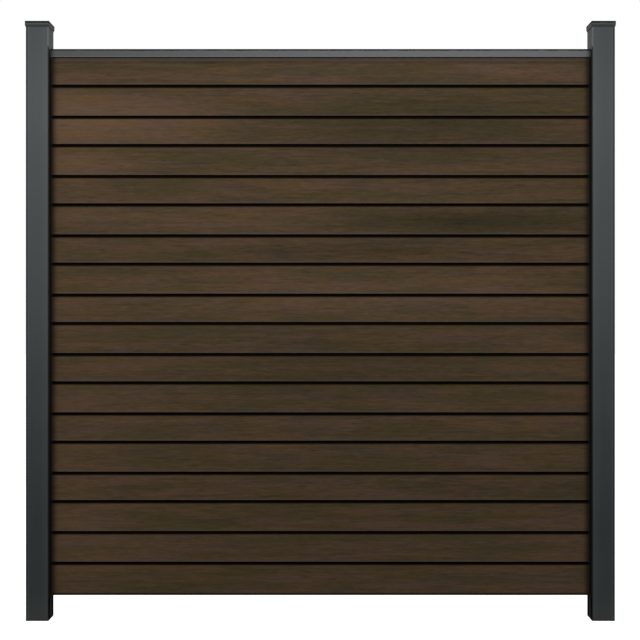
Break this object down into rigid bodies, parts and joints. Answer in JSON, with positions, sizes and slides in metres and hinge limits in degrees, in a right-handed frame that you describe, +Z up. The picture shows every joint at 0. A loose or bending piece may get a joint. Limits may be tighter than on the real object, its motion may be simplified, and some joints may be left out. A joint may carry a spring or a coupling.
{
  "type": "garden privacy screen",
  "caption": "Straight garden privacy screen: horizontal hollow wood-composite boards with shadow joints, held in channelled square aluminium posts with caps, under a top rail.",
  "frame": {"origin": "on the ground, midway between the two posts and midway through their depth", "axes": "+X along the wall to the right as seen from the front, +Y from the front to the back, +Z up"},
  "size_m": [1.978, 0.082, 2.008],
  "materials": {
    "boards": "matte",
    "rail": "satin",
    "posts": "satin",
    "caps": "satin",
    "channel_strips": "satin",
    "gaskets": "matte"
  },
  "bodies": {
    "root": {"board_1": "boards", "board_2": "boards", "board_3": "boards", "board_4": "boards", "board_5": "boards", "board_6": "boards", "board_7": "boards", "board_8": "boards", "board_9": "boards", "top_rail": "rail", "post_left": "posts", "post_cap_left": "caps", "channel_cover_left": "channel_strips", "channel_spacer_left": "channel_strips", "channel_filler_left": "channel_strips", "gasket_left_front": "gaskets", "gasket_left_back": "gaskets", "post_right": "posts", "post_cap_right": "caps", "channel_cover_right": "channel_strips", "channel_spacer_right": "channel_strips", "channel_filler_right": "channel_strips", "gasket_right_front": "gaskets", "gasket_right_back": "gaskets"}
  },
  "joints": []
}
